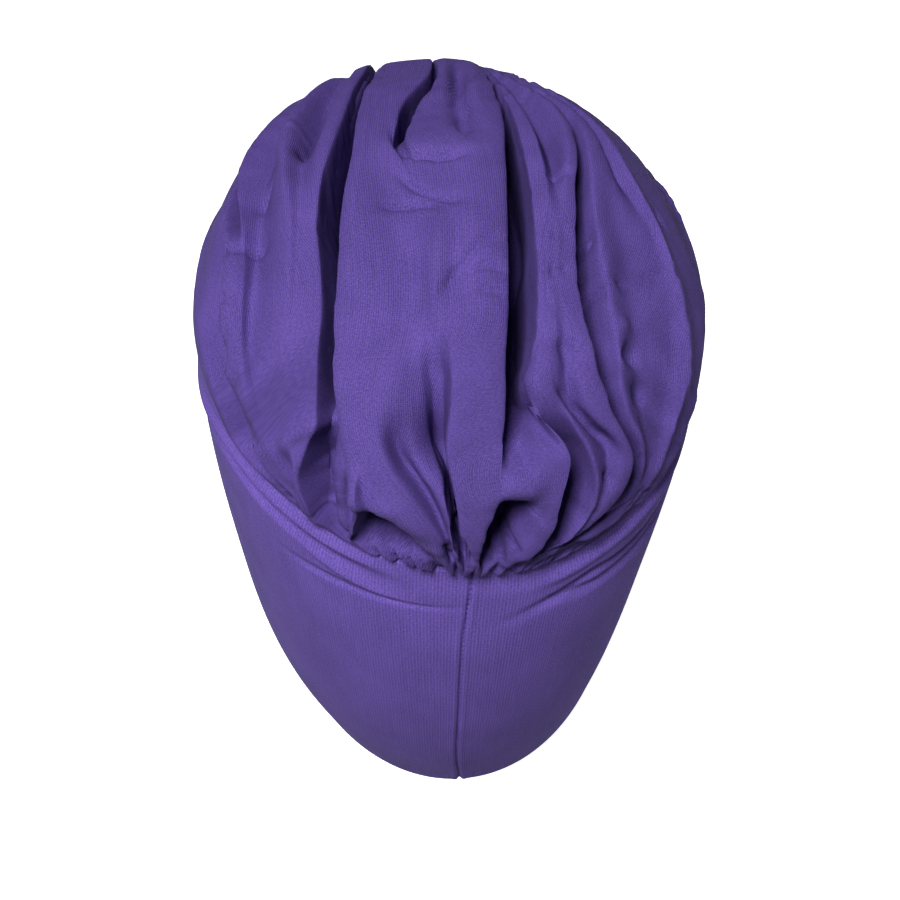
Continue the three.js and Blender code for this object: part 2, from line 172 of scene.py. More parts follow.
# A place on the crown is u across, 1 at the wearer's left side and -1 at the
# right, and v along, -1 at the back gather and 1 at the front one. Each fold
# line has a place across and a height in mm over the form at every station
# along, and its crease is 0 if soft and 1 if sharp. None stands for a value
# that runs evenly between its neighbours.
STATIONS = [-0.95, -0.86, -0.82, -0.78, -0.70, -0.62, -0.48, -0.20, -0.03, 0.15, 0.36, 0.60]
FOLD_COLUMNS = ["name", "crease", "places", "heights"]
FOLD_LINES = [
    ("side_left", 0,
     [1, 1, None, 1, 1, 1, 1, 1, 1, 1, 1, 1],
     [0, 0, None, 0, 0, 0, 0, 0, 0, 0, 0, 0]),
    ("outer_crest", 0.3,
     [0.965, 0.9, None, 0.87, 0.86, 0.865, 0.845, 0.79, 0.73, 0.69, 0.66, 0.6],
     [0, 0.5, None, 1, 2, 2.5, 1.5, 0, -0.5, 0, 1, 1]),
    ("outer_valley", 0,
     [0.945, 0.865, None, 0.8, 0.79, 0.775, 0.755, 0.68, 0.65, 0.625, 0.6, 0.55],
     [0, -1, None, -4, -9, -11, -13, -12, -8, -6, -3, -2]),
    ("outer_valley_floor", 0.1,
     [0.93, 0.84, None, 0.765, 0.765, 0.735, 0.69, 0.615, 0.63, 0.605, 0.585, 0.535],
     [0, -1, None, -5, -12, -14, -16, -15, -10, -8, -4, -2]),
    ("left_layer", 0.5,
     [0.915, 0.82, 0.777, 0.745, 0.725, 0.69, 0.645, 0.545, 0.575, 0.585, 0.57, 0.52],
     [0, 1, 1.3, 2, 3.5, 5.5, 6.5, 6, 3, -1, 0, 1]),
    ("left_groove", 0.1,
     [0.9, 0.805, 0.758, 0.72, 0.69, 0.66, 0.615, 0.525, 0.555, 0.588, 0.545, 0.5],
     [0, 0.8, 0.9, 1, 3, 4.4, 5.2, 5, -6, -8, -3, 0]),
    ("left_groove_lip", 0.5,
     [0.88, 0.795, 0.747, 0.705, 0.65, 0.63, 0.58, 0.5, 0.53, 0.565, 0.525, 0.47],
     [0.5, 1, 1, 1, 2.5, 3.6, 4, 3.6, 3, 2, 2, 3]),
    ("soft_dent", 0,
     [0.86, 0.79, None, 0.695, 0.63, 0.59, 0.565, 0.48, 0.47, 0.46, 0.45, 0.42],
     [0.5, 1, None, 0.5, 0.2, 1.5, 1.5, -1, -3, -4, 0, 2]),
    ("broad_crest", 0,
     [0.84, 0.785, None, 0.685, 0.6, 0.515, 0.44, 0.365, 0.378, 0.39, 0.38, 0.35],
     [0.5, 1.5, None, 2.5, 2.8, 1.5, 3.5, 4.8, 4.2, 3.8, 3, 3]),
    ("pocket_valley", 0,
     [0.83, 0.78, None, 0.681, 0.594, 0.49, 0.42, 0.345, 0.34, 0.335, 0.325, 0.31],
     [0.5, 1.5, None, 2.4, 2.7, 1.5, 3, 3, 0, -8, -3, 2]),
    ("pocket_ridge", 0.2,
     [0.82, 0.775, None, 0.677, 0.588, 0.465, 0.38, 0.32, 0.295, 0.275, 0.255, 0.265],
     [0.5, 1.5, None, 2.3, 2.6, 1.5, 3, 3.2, 3, 3, 3.2, 3]),
    ("channel_1_lip", 0.5,
     [0.81, 0.77, None, 0.672, 0.58, 0.44, 0.345, 0.298, 0.27, 0.242, 0.225, 0.215],
     [0.5, 1.5, None, 2.2, 2.5, 1.5, 3, 3, 3, 2.5, 3, 3]),
    ("channel_1_floor", 0.3,
     [0.8, 0.755, None, 0.655, 0.56, 0.425, 0.335, 0.29, 0.262, 0.24, 0.232, 0.215],
     [0, -4, None, -9, -13, -8, -30, -34, -33, -28, -14, -3]),
    ("channel_1_inner_floor", 0.3,
     [0.775, 0.725, None, 0.61, 0.49, 0.375, 0.318, 0.258, 0.23, 0.222, 0.212, 0.195],
     [0, -5, None, -10, -14, -8, -30, -34, -33, -28, -14, -3]),
    ("strip_left", 0.3,
     [0.765, 0.69, None, 0.585, 0.475, 0.368, 0.312, 0.252, 0.224, 0.217, 0.205, 0.19],
     [0, -2.5, None, -5, -6.5, -4, -15, -17, -16, -13, -6, -2]),
    ("strip_right", 0.2,
     [0.755, 0.63, None, 0.53, 0.4, 0.357, 0.31, 0.248, 0.22, 0.21, 0.197, 0.18],
     [0, -1.5, None, -3.5, -4, -2, -8, -9, -8, -6, -3, -1]),
    ("second_pocket", 0.3,
     [0.75, 0.6, None, 0.472, 0.392, 0.352, 0.307, 0.244, 0.216, 0.205, 0.192, 0.172],
     [0, -2.5, None, -7, -5, -2, -6, -7, -5, -3, -2, -1]),
    ("panel_left_lip", 0.7,
     [0.745, 0.565, None, 0.447, 0.387, 0.348, 0.304, 0.238, 0.213, 0.2, 0.186, 0.165],
     [1, 2.5, 3, 3, 2.5, 2.5, 3, 3, 3, 2.5, 2, 1.5]),
    ("panel_left_crest", 0,
     [0.65, 0.49, 0.43, 0.41, 0.355, 0.335, 0.275, 0.215, 0.19, 0.18, 0.165, 0.15],
     [-2, -17, -16, 5.5, 4.4, 3.5, 4.8, 4.8, 4.6, 3.8, 3, 2]),
    ("gather_hollow", 0.1,
     [0.42, 0.36, 0.365, 0.37, 0.335, 0.32, 0.235, 0.19, 0.175, 0.165, 0.155, 0.14],
     [-3, -18, -18, 6, 4.2, 3.9, 5, 4.6, 4.2, 3.8, 3, 2]),
    ("facet_edge", 0.2,
     [0.17, 0.235, 0.27, 0.335, 0.315, 0.28, 0.2, 0.165, 0.16, 0.15, 0.145, 0.13],
     [2, 3, 6, 6.5, 4.6, 4.2, 4.4, 3.8, 4.2, 4, 3, 2]),
    ("diagonal_ridge", 0.15,
     [0.1, 0.115, None, 0.182, 0.232, 0.23, 0.165, 0.145, 0.15, 0.14, 0.13, 0.11],
     [1.5, 3, None, 4.4, 4.7, 4.2, 3.4, 3, 4.4, 4, 3, 2]),
    ("diagonal_hollow", 0,
     [0.08, 0.095, None, 0.155, 0.205, 0.185, 0.135, 0.12, 0.135, 0.125, 0.085, 0.06],
     [1, 1, None, -3, -4, 3, 2.2, 2.4, 4.4, 4, 3, 2]),
    ("slit_left_soft", 0,
     [0.06, 0.082, None, 0.11, 0.155, 0.135, 0.11, 0.095, 0.122, 0.115, 0.035, 0.01],
     [1.5, 3, None, 3.2, -1, 0.5, 1.8, 2.6, 4.5, 4.2, 3, 2]),
    ("slit_left_lip", 0.3,
     [0.035, 0.071, None, 0.08, 0.104, 0.1, 0.088, 0.07, 0.112, 0.1, 0.012, -0.02],
     [2, 3.2, 4.1, 3.8, -7, -3, 2.4, 3.4, 4.4, 4, 3.2, 1.8]),
    ("slit_floor", 0.3,
     [0.028, 0.067, None, 0.076, 0.096, 0.075, 0.07, 0.05, 0.106, 0.093, 0.005, -0.024],
     [1.5, -14, -16.1, -16, -17, -9, 3.2, 4, 3, -8, -7, 1]),
    ("slit_inner_floor", 0.3,
     [0.02, 0.04, None, 0.048, 0.058, 0.045, 0.05, 0.03, 0.094, 0.074, -0.008, -0.03],
     [1.5, -14, -16.1, -16, -17, -9, 4.6, 4.6, 3.4, -6, -7, 1]),
    ("slit_right_lip", 0.5,
     [0.005, 0.034, None, 0.043, 0.052, 0.028, 0.02, 0.005, 0.084, 0.062, -0.017, -0.036],
     [2, 3.4, None, 4.4, 4.7, 5, 5.6, 5.2, 4, 2, 2.2, 1.6]),
    ("panel_right_crest", 0,
     [-0.035, -0.01, None, -0.01, -0.04, -0.055, -0.05, -0.055, -0.05, -0.075, -0.1, -0.11],
     [3, 4.2, None, 4.8, 5, 5, 6.2, 6.2, 5.4, 4.6, 3.5, 2.5]),
    ("panel_right_lip", 0.6,
     [-0.06, -0.065, None, -0.085, -0.1, -0.107, -0.118, -0.124, -0.138, -0.15, -0.165, -0.19],
     [1, 3, 3.6, 4.5, 4.2, 3.2, 3, 3, 3, 2.5, 2, 1.5]),
    ("channel_2_inner_floor", 0.3,
     [-0.075, -0.085, None, -0.115, -0.12, -0.104, -0.115, -0.121, -0.135, -0.147, -0.163, -0.188],
     [1, -13, -12, 4.5, -4, -26, -34, -34, -32, -26, -12, -2]),
    ("channel_2_floor", 0.3,
     [-0.1, -0.17, None, -0.19, -0.165, -0.172, -0.188, -0.178, -0.177, -0.176, -0.168, -0.191],
     [1.5, -12, -12, 5, -4, -20, -34, -34, -32, -26, -12, 0.8]),
    ("fold_b_wall", 0,
     [-0.13, -0.24, None, -0.26, -0.22, -0.178, -0.19, -0.18, -0.179, -0.179, -0.17, -0.193],
     [1.5, 3, 4, 5, 3.5, -8, -14, -14, -12, -9, -4, 0.8]),
    ("fold_b_left_lip", 0.5,
     [-0.22, -0.32, None, -0.312, -0.3, -0.184, -0.192, -0.182, -0.181, -0.181, -0.172, -0.195],
     [1, 4.5, 5, 5.5, 5, 2, 2.5, 2.5, 2.5, 2, 1.5, 0.8]),
    ("low_valley", 0.3,
     [-0.23, -0.335, None, -0.325, -0.318, -0.2, -0.205, -0.192, -0.191, -0.19, -0.178, -0.2],
     [0, -14, -17, -19, -12, 2.5, 3.2, 3, 3, 2.2, 1.5, 0.8]),
    ("low_valley_floor", 0.2,
     [-0.3, -0.43, None, -0.44, -0.362, -0.25, -0.218, -0.205, -0.2, -0.2, -0.187, -0.207],
     [0, -9, -12, -14, -10, 2.8, 4, 3.8, 3.2, 2.5, 1.5, 0.8]),
    ("strip_ridge", 0.5,
     [-0.33, -0.462, None, -0.468, -0.378, -0.275, -0.235, -0.218, -0.215, -0.207, -0.197, -0.213],
     [0.5, 2.5, 3, 3.5, 4, 3.5, 4.2, 4, 3.4, 2.2, 1.2, 0.8]),
    ("fold_b_crease", 0,
     [-0.37, -0.48, None, -0.5, -0.475, -0.325, -0.255, -0.236, -0.248, -0.245, -0.22, -0.219],
     [0.5, 1.5, None, 2, -1.5, -0.5, 3.2, 3, -4, -5, -2, 0.8]),
    ("fold_b_crest", 0,
     [-0.39, -0.495, None, -0.54, -0.51, -0.355, -0.28, -0.256, -0.285, -0.292, -0.25, -0.226],
     [0.5, 1.5, None, 3, 2.8, 3.4, 3.8, 3.8, 3.6, 2.6, 1.4, 0.8]),
    ("fold_b_right_lip", 0.6,
     [-0.42, -0.51, None, -0.583, -0.56, -0.428, -0.322, -0.28, -0.305, -0.312, -0.27, -0.233],
     [0.5, 1.5, None, 2.5, 3, 3.4, 3.2, 3, 2.8, 1.8, 1.2, 0.8]),
    ("recess_inner_floor", 0.3,
     [-0.43, -0.52, None, -0.59, -0.565, -0.434, -0.328, -0.286, -0.31, -0.32, -0.277, -0.255],
     [0, -1, -2.6, -5, -18, -24, -18, -12, -9, -2, 0, 0.8]),
    ("recess_floor", 0.2,
     [-0.46, -0.56, None, -0.635, -0.64, -0.5, -0.39, -0.322, -0.33, -0.34, -0.29, -0.28],
     [0, -1.5, -2.4, -4, -16, -22, -15, -10, -9, -3, 0, 0.8]),
    ("right_panel_lip", 0.3,
     [-0.5, -0.62, None, -0.72, -0.7, -0.525, -0.43, -0.338, -0.345, -0.36, -0.31, -0.31],
     [0, 0.5, None, -0.5, -1, -1, -0.5, 1, 1.5, 1.2, 1, 0.8]),
    ("right_panel_middle", 0,
     [-0.6, -0.7, None, -0.77, -0.75, -0.62, -0.55, -0.43, -0.4, -0.38, -0.33, -0.335],
     [0, 0, None, 0.5, -2, -4, -5, -2, 0.5, 1.5, 1, 0.8]),
    ("lateral_groove", 0.1,
     [-0.7, -0.78, None, -0.8, -0.785, -0.73, -0.68, -0.565, -0.44, -0.4, -0.355, -0.355],
     [0, 0, None, 0, 0, -2, -3.5, -0.5, -2.5, -5, -3, -1]),
    ("lateral_ridge", 0.6,
     [-0.74, -0.8, None, -0.82, -0.8, -0.755, -0.71, -0.585, -0.46, -0.42, -0.375, -0.375],
     [0, 0, None, 0.5, 1, 1, 1.5, 2, 2.4, 1.6, 1, 0]),
    ("lateral_valley", 0,
     [-0.8, -0.85, None, -0.86, -0.84, -0.8, -0.78, -0.66, -0.54, -0.49, -0.42, -0.44],
     [0, 0, None, 0, 0.5, 0, 0, 0, 0.5, 0.5, 0.5, -0.5]),
    ("outer_strip", 0,
     [-0.9, -0.92, None, -0.93, -0.92, -0.905, -0.89, -0.83, -0.76, -0.7, -0.66, -0.62],
     [0, 0.5, None, 1.5, 2, 2, 1.5, 1, 1, 1, 1, 1]),
    ("side_right", 0,
     [-1, -1, None, -1, -1, -1, -1, -1, -1, -1, -1, -1],
     [0, 0, None, 0, 0, 0, 0, 0, 0, 0, 0, 0]),
]
PLACE_DIGITS = 3
HEIGHT_DIGITS = 1


def run_of(values, digits):
    """The stations from gather to gather and a fold line's values at them."""
    values = [values[0], *values, values[-1]]
    stations = [-1.0, *STATIONS, 1.0]
    known = [i for i, value in enumerate(values) if value is not None]
    run = through([stations[i] for i in known], [values[i] for i in known], np.array(stations))
    return stations, np.round(run, digits)


fold_lines = [dict(zip(FOLD_COLUMNS, row)) for row in FOLD_LINES]
line_names = [line["name"] for line in fold_lines]
line_places = [run_of(line["places"], PLACE_DIGITS) for line in fold_lines]
line_heights = [run_of(line["heights"], HEIGHT_DIGITS) for line in fold_lines]
line_creases = np.array([line["crease"] for line in fold_lines])


def line_points(v):
    """Where the fold lines cross the row v: mm across, and height."""
    across = np.array([through(*run, v) for run in line_places]) * CROWN_SPAN
    heights = np.array([through(*run, v) for run in line_heights])
    return np.stack([across, heights], -1)


def cross_section(v, steps):
    """The cloth's place across and its height along one row of the crown."""
    points = line_points(v)
    points = np.vstack([2 * points[0] - points[1], points, 2 * points[-1] - points[-2]])
    i = np.clip(np.floor(steps).astype(int), 0, len(fold_lines) - 2)
    t = (steps - i)[:, None]
    before, start, end, after = points[i], points[i + 1], points[i + 2], points[i + 3]

    def spacing(a, b):
        return np.sqrt(np.maximum(np.linalg.norm(b - a, axis=-1), 1e-6))[:, None]

    d1, d2, d3 = spacing(before, start), spacing(start, end), spacing(end, after)
    leave = ((start - before) / d1 - (end - before) / (d1 + d2) + (end - start) / d2) * d2
    arrive = ((end - start) / d2 - (after - start) / (d2 + d3) + (after - end) / d3) * d2
    leave = leave * (1 - line_creases[i])[:, None]
    arrive = arrive * (1 - line_creases[i + 1])[:, None]
    curve = (2 * t**3 - 3 * t**2 + 1) * start + (t**3 - 2 * t**2 + t) * leave
    curve = curve + (3 * t**2 - 2 * t**3) * end + (t**3 - t**2) * arrive
    return curve[:, 0] / CROWN_SPAN, curve[:, 1]


def crown_place(u, v):
    """Level and angle on the form for a place across and along the crown."""
    along = v * np.cos(GATHER_HALF_ANGLE * u)
    across = np.sign(u) * np.sqrt((1 - v * v) * u * u + (v * np.sin(GATHER_HALF_ANGLE * u)) ** 2)
    reach = np.clip(np.hypot(across, along), 0, 1)
    return 2 - reach, np.arctan2(across, -along)


def crown_form(u, v):
    """The unfolded crown at a place across and along it."""
    return on_form(*crown_place(u, v))


def unit(vectors):
    """The vectors at length 1."""
    return vectors / np.maximum(np.linalg.norm(vectors, axis=-1), 1e-9)[..., None]


def ease(x):
    """0 to 1 with a soft start and end."""
    x = np.clip(x, 0, 1)
    return x * x * (3 - 2 * x)


def form_outward(level, angle):
    """The form's outward direction."""
    bit = 1e-3
    level_above = level + bit
    up = on_form(level_above, angle) - on_form(level_above - 2 * bit, angle)
    sideways = on_form(level, angle + bit) - on_form(level, angle - bit)
    return unit(np.cross(sideways, up))


# The outer face has its columns of points evenly spaced where the folds are
# widest, and its rows lie closer together near both gathers. Outward is read
# just inside the crown's edges and just below its top.
COLUMN_PITCH = 1.85
LEAST_COLUMNS = 2
SAMPLE_ROWS = np.linspace(-0.9, 0.7, 33)
CROWN_ROWS = 207
SEAM_FADE = 0.07
EDGE = 0.998
TOP_LEVEL = 1.97
HEAD_MIDDLE = np.array([0, 0, 20])
sample_points = [line_points(v) for v in SAMPLE_ROWS]
widths = [np.linalg.norm(np.diff(points, axis=0), axis=-1) for points in sample_points]
steps = [0.0]
for i, width in enumerate(np.max(widths, axis=0)):
    count = max(LEAST_COLUMNS, round(width / COLUMN_PITCH))
    steps += [i + (k + 1) / count for k in range(count)]
steps = np.array(steps)
half_turn = np.linspace(0, pi, CROWN_ROWS + 1)
rows = -0.5 * np.cos(half_turn) + np.linspace(-0.5, 0.5, CROWN_ROWS + 1)
sections = [cross_section(v, steps) for v in rows]
u = np.clip(np.stack([section[0] for section in sections], 1), -1, 1)
fold_height = np.stack([section[1] for section in sections], 1)
v = np.broadcast_to(rows, u.shape)
form = crown_form(u, v)
level, angle = crown_place(u, v)
level_inside, angle_inside = crown_place(np.clip(u, -EDGE, EDGE), np.clip(v, -EDGE, EDGE))
outward = form_outward(np.minimum(level_inside, TOP_LEVEL), angle_inside)
outward[(outward * (form - HEAD_MIDDLE)).sum(-1) < 0] *= -1
near_seam = ease((level - 1) / SEAM_FADE)
folded = form + outward * (fold_height * near_seam)[..., None]
cloth_outward = unit(np.cross(np.gradient(folded, axis=0), np.gradient(folded, axis=1)))
if (cloth_outward * outward).sum() < 0:
    cloth_outward = -cloth_outward
crease_outward = unit(outward + cloth_outward)

# Creases, rims and pleats too small or too slanted for a fold line. Each was
# read off the photo: its path is in pixels of the 900 by 900 frame, and it lies
# where the camera sees them on the form. Half width and height are in mm, below
# 0 for a groove. A crease leans to one side, has a sharp (1) or soft (0) middle,
# rolls over by some mm, and shows from its first fold line to its last.
PHOTO_SIDE = 900
CREASE_COLUMNS = [
    "name", "half_width", "height", "lean", "sharp", "over", "first", "last", "pixels",
]
CREASES = [
    ("pocket_crease", 3, -3.6, 0.25, 0.2, 0, "panel_left_lip", "panel_right_lip",
     [(392, 139), (400, 158), (420, 167), (445, 169), (470, 166)]),
    ("level_crease", 2, -2.4, 0, 0.4, 0, "panel_left_lip", "panel_right_crest",
     [(372, 214), (400, 212), (425, 213), (445, 217)]),
    ("arc_1", 1.9, -2.6, 0.3, 0.5, 0, "panel_left_lip", "panel_right_lip",
     [(440, 303), (466, 268), (487, 250), (506, 246)]),
    ("arc_2", 1.9, -2.4, 0.3, 0.5, 0, "panel_left_lip", "panel_right_lip",
     [(450, 296), (474, 277), (492, 274), (507, 281)]),
    ("arc_3", 1.9, -2.6, 0.3, 0.5, 0, "panel_left_lip", "panel_right_lip",
     [(454, 303), (474, 298), (492, 298), (508, 305)]),
    ("top_valley", 4.5, -6, 0, 0, 0, "panel_left_lip", "panel_right_lip",
     [(456, 66), (458, 95), (462, 125), (470, 148)]),
    ("left_pocket", 4.5, -6, 0, 0.1, 0, "left_groove_lip", "channel_1_lip",
     [(316, 128), (311, 142), (300, 152)]),
    ("left_pocket_rim", 1.9, 1.25, 0.3, 0.4, 0.6, "left_groove_lip", "channel_1_lip",
     [(284, 138), (296, 133), (308, 134), (319, 141)]),
    ("side_crease_1", 3.4, -2.2, 0, 0.2, 0, "left_groove_lip", "broad_crest",
     [(282, 165), (266, 191), (252, 213)]),
    ("side_crease_2", 2.6, -2.4, 0, 0.3, 0, "left_layer", "broad_crest",
     [(268, 249), (252, 254), (235, 258)]),
    ("side_crease_3", 2.4, -2, 0, 0.3, 0, "left_layer", "broad_crest",
     [(252, 301), (234, 304), (220, 302)]),
    ("fold_b_small", 1.9, -3, 0, 0.4, 0, "fold_b_crease", "fold_b_right_lip",
     [(590, 466), (600, 474), (610, 481)]),
    ("fold_b_level_1", 1.9, -1.6, 0, 0.6, 0, "fold_b_left_lip", "fold_b_right_lip",
     [(542, 183), (558, 181), (574, 182)]),
    ("fold_b_level_2", 1.9, -1.4, 0, 0.6, 0, "fold_b_left_lip", "fold_b_right_lip",
     [(546, 243), (557, 240), (567, 241)]),
    ("fold_b_level_3", 1.9, -2.2, 0, 0.5, 0, "fold_b_left_lip", "fold_b_right_lip",
     [(545, 279), (556, 274), (568, 273)]),
    ("recess_level_1", 1.9, -3.2, 0, 0.5, 0, "fold_b_right_lip", "right_panel_lip",
     [(574, 236), (585, 236), (596, 236)]),
    ("recess_level_2", 1.9, -3.6, 0, 0.5, 0, "fold_b_right_lip", "right_panel_lip",
     [(574, 263), (585, 263), (597, 264)]),
    ("recess_level_3", 2.2, -3.52, 0, 0.4, 0, "fold_b_right_lip", "right_panel_middle",
     [(577, 290), (594, 291), (612, 286)]),
    ("panel_step", 3, -2, -0.4, 0.3, 0, "right_panel_lip", "outer_strip",
     [(616, 276), (640, 277), (678, 274)]),
    ("panel_dent_1", 5.5, -3.6, 0, 0, 0, "right_panel_lip", "outer_strip",
     [(630, 340), (640, 352), (655, 358)]),
    ("panel_dent_2", 5.5, -3, 0, 0, 0, "right_panel_lip", "outer_strip",
     [(640, 390), (660, 400)]),
    ("panel_bulge", 5, 1.2, 0, 0, 0, "right_panel_lip", "outer_strip",
     [(625, 315), (632, 330)]),
    ("lateral_nick", 1.9, -2, 0, 0.5, 0, "lateral_groove", "outer_strip",
     [(655, 211), (661, 220), (666, 229)]),
    ("pocket_brow", 4, 2.2, -0.2, 0.1, 0, "left_groove_lip", "strip_right",
     [(340, 413), (322, 423), (303, 432), (291, 441), (280, 455)]),
    ("pocket_rim", 2.6, 1.6, 0.3, 0.3, 0.5, "soft_dent", "strip_left",
     [(291, 441), (300, 455), (303, 475), (310, 502), (321, 520), (335, 532)]),
    ("seam_fold_left", 1.5, 1.6, 0.5, 0.6, 0.8, "outer_crest", "slit_left_lip",
     [(300, 503), (322, 524), (342, 537), (366, 549), (388, 555), (412, 558), (431, 560)]),
    ("seam_dark_left", 1.4, -1.8, -0.4, 0.5, 0, "outer_crest", "slit_left_lip",
     [(303, 499), (325, 519), (345, 533), (369, 545), (391, 551), (414, 554), (432, 556)]),
    ("facet_groove", 3.4, -3.6, 0.5, 0.4, 3, "panel_left_lip", "slit_left_lip",
     [(350, 527), (357, 510), (368, 504), (384, 509), (399, 520), (413, 533), (427, 547), (437, 558)]),
    ("slit_foot", 2.2, 9, 0.4, 0.5, 0, "slit_floor", "slit_inner_floor",
     [(431, 543), (441, 536), (455, 534), (463, 530)]),
    ("pleat_1", 1.3, -1.8, 0, 0.4, 0, "facet_edge", "slit_left_lip",
     [(424, 545), (432, 555), (438, 564)]),
    ("pleat_2", 1.6, -2.8, 0.3, 0.4, 0, "diagonal_ridge", "slit_right_lip",
     [(440, 539), (446, 549), (452, 562)]),
    ("pleat_3", 1.3, -2.4, 0, 0.4, 0, "diagonal_ridge", "panel_right_crest",
     [(449, 541), (450, 550), (453, 562)]),
    ("pleat_4", 1.1, -1.8, 0, 0.4, 0, "diagonal_ridge", "panel_right_crest",
     [(465, 540), (463, 552), (465, 563)]),
    ("pleat_5", 1.6, -3, 0, 0.4, 0, "diagonal_ridge", "panel_right_crest",
     [(460, 531), (466, 545), (473, 559)]),
    ("pleat_6", 2, -4.5, 0.2, 0.3, 0, "panel_right_crest", "channel_2_floor",
     [(491, 516), (489, 530), (485, 546), (481, 563)]),
    ("pleat_7", 1.7, -3.5, 0, 0.3, 0, "panel_right_crest", "channel_2_floor",
     [(490, 530), (493, 541), (490, 553), (487, 563)]),
    ("pleat_8", 1.7, -3, 0.3, 0.4, 0, "panel_right_crest", "fold_b_wall",
     [(515, 520), (509, 537), (502, 549), (495, 564)]),
    ("pleat_9", 1.2, -1.4, 0, 0.4, 0, "panel_right_crest", "fold_b_left_lip",
     [(520, 556), (512, 561), (506, 566)]),
    ("tuck_groove", 2.4, -2, 0.5, 0.5, 2.5, "slit_right_lip", "fold_b_left_lip",
     [(483, 505), (500, 502), (520, 502), (534, 505), (545, 514)]),
    ("tuck_spot", 1.9, -5.62, 0, 0.3, 0, "slit_right_lip", "fold_b_left_lip",
     [(501, 547), (509, 546), (518, 547)]),
    ("seam_fold_right", 1.4, 1.5, 0.4, 0.6, 0.8, "fold_b_left_lip", "outer_strip",
     [(527, 560), (548, 552), (572, 540), (596, 528), (620, 512), (643, 492)]),
    ("seam_dark_right", 1.4, -1.8, 0.4, 0.5, 0, "fold_b_left_lip", "outer_strip",
     [(530, 555), (551, 547), (574, 535), (598, 522), (621, 507), (642, 488)]),
    ("panel_dent_3", 4.5, -1.4, 0, 0, 0, "fold_b_left_lip", "fold_b_right_lip",
     [(560, 340), (566, 352), (575, 360)]),
    ("low_fold_1", 2.4, -3.4, 0.3, 0.4, 0, "fold_b_left_lip", "fold_b_right_lip",
     [(546, 384), (560, 397), (575, 413), (590, 428), (606, 443), (620, 457)]),
    ("low_fold_2", 2.6, -2.4, -0.2, 0.3, 0, "channel_2_floor", "strip_ridge",
     [(527, 400), (534, 420), (546, 437), (560, 450)]),
    ("slant_crease", 2.2, -2.2, 0, 0.3, 0, "panel_left_lip", "panel_right_lip",
     [(394, 182), (418, 198), (444, 209), (470, 214)]),
    ("side_hollow", 5, -5, 0, 0, 0, "outer_valley", "broad_crest",
     [(240, 331), (234, 372), (248, 410), (268, 452)]),
    ("side_swell", 6, 1.4, 0, 0, 0, "outer_valley", "broad_crest",
     [(262, 345), (258, 385), (270, 420)]),
]
NET = 400
net_u, net_v = np.meshgrid(np.linspace(-1, 1, NET + 1), np.linspace(-1, 1, NET + 1), indexing="ij")
view = np.array([*towards_camera])
view_right = unit(np.cross(-view, [0, 0, 1]))
view_up = np.cross(view_right, -view)
seen = crown_form(net_u, net_v) - np.array([*camera.location]) * 1000
pixels_per_mm = PHOTO_SIDE * lens.lens / lens.sensor_width / (seen @ -view)
pixel_x = round(PHOTO_SIDE * (0.5 - lens.shift_x)) + pixels_per_mm * (seen @ view_right)
pixel_y = round(PHOTO_SIDE * (0.5 + lens.shift_y)) - pixels_per_mm * (seen @ view_up)
turn = np.gradient(pixel_x, axis=0) * np.gradient(pixel_y, axis=1)
turn = turn - np.gradient(pixel_y, axis=0) * np.gradient(pixel_x, axis=1)
faces_camera = turn > 0


def seen_at(x, y):
    """The place on the crown that the camera sees at a pixel of the photo."""
    missed_by = np.where(faces_camera, (pixel_x - x) ** 2 + (pixel_y - y) ** 2, np.inf)
    nearest = np.argmin(missed_by)
    return net_u.flat[nearest], net_v.flat[nearest]


def drawn_path(places, parts):
    """Finely spaced places along a line drawn through a few of them."""
    places = np.array(places, float)
    stops = np.arange(len(places))
    fine = np.linspace(0, len(places) - 1, parts * (len(places) - 1) + 1)
    return through(stops, places[:, 0], fine), through(stops, places[:, 1], fine)


END_FADE = 0.25
END_SHARE = 0.15
STEEP_REACH = 0.45
SOFT_REACH = 1.6
LEAST_REACH = 1.2


def crease_height(form, outward, path, half_width, height, lean, sharp, over=0):
    """The rise along one crease and its shift: steep and rolled over to the
    side that it leans away from."""
    rise = np.zeros(form.shape[:-1])
    shift = np.zeros(form.shape)
    low = path.min(axis=0) - 2 * half_width
    high = path.max(axis=0) + 2 * half_width
    near = np.all((form > low) & (form < high), axis=-1)
    here, up = form[near], outward[near]
    best = np.full(len(here), 1e9)
    side = np.zeros(len(here))
    along = np.zeros(len(here))
    sideways = np.zeros(here.shape)
    pieces = len(path) - 1
    for i in range(pieces):
        step = path[i + 1] - path[i]
        t = np.clip(((here - path[i]) @ step) / (step @ step), 0, 1)
        offset = here - (path[i] + t[:, None] * step)
        distance = np.linalg.norm(offset, axis=-1)
        closer = distance < best
        best[closer] = distance[closer]
        across = np.cross(up, step / np.linalg.norm(step))
        side[closer] = np.sign((across * offset).sum(-1))[closer]
        along[closer] = ((i + t) / pieces)[closer]
        sideways[closer] = across[closer]
    ends = ease(along / END_FADE) * ease((1 - along) / END_FADE)
    x = np.clip(best / (half_width * (1 + lean * ends * side)), 0, 1)
    rise[near] = height * (1 - x ** (2 - sharp)) ** 2 * (END_SHARE + (1 - END_SHARE) * ends)
    steep = -np.sign(lean)
    steep_reach = max(LEAST_REACH, STEEP_REACH * half_width)
    away = np.clip(best / np.where(side == steep, steep_reach, SOFT_REACH * half_width), 0, 1)
    pull = over * steep * ends * (1 - away) ** 2 * (1 + 2 * away)
    shift[near] = sideways * pull[:, None]
    return rise, shift


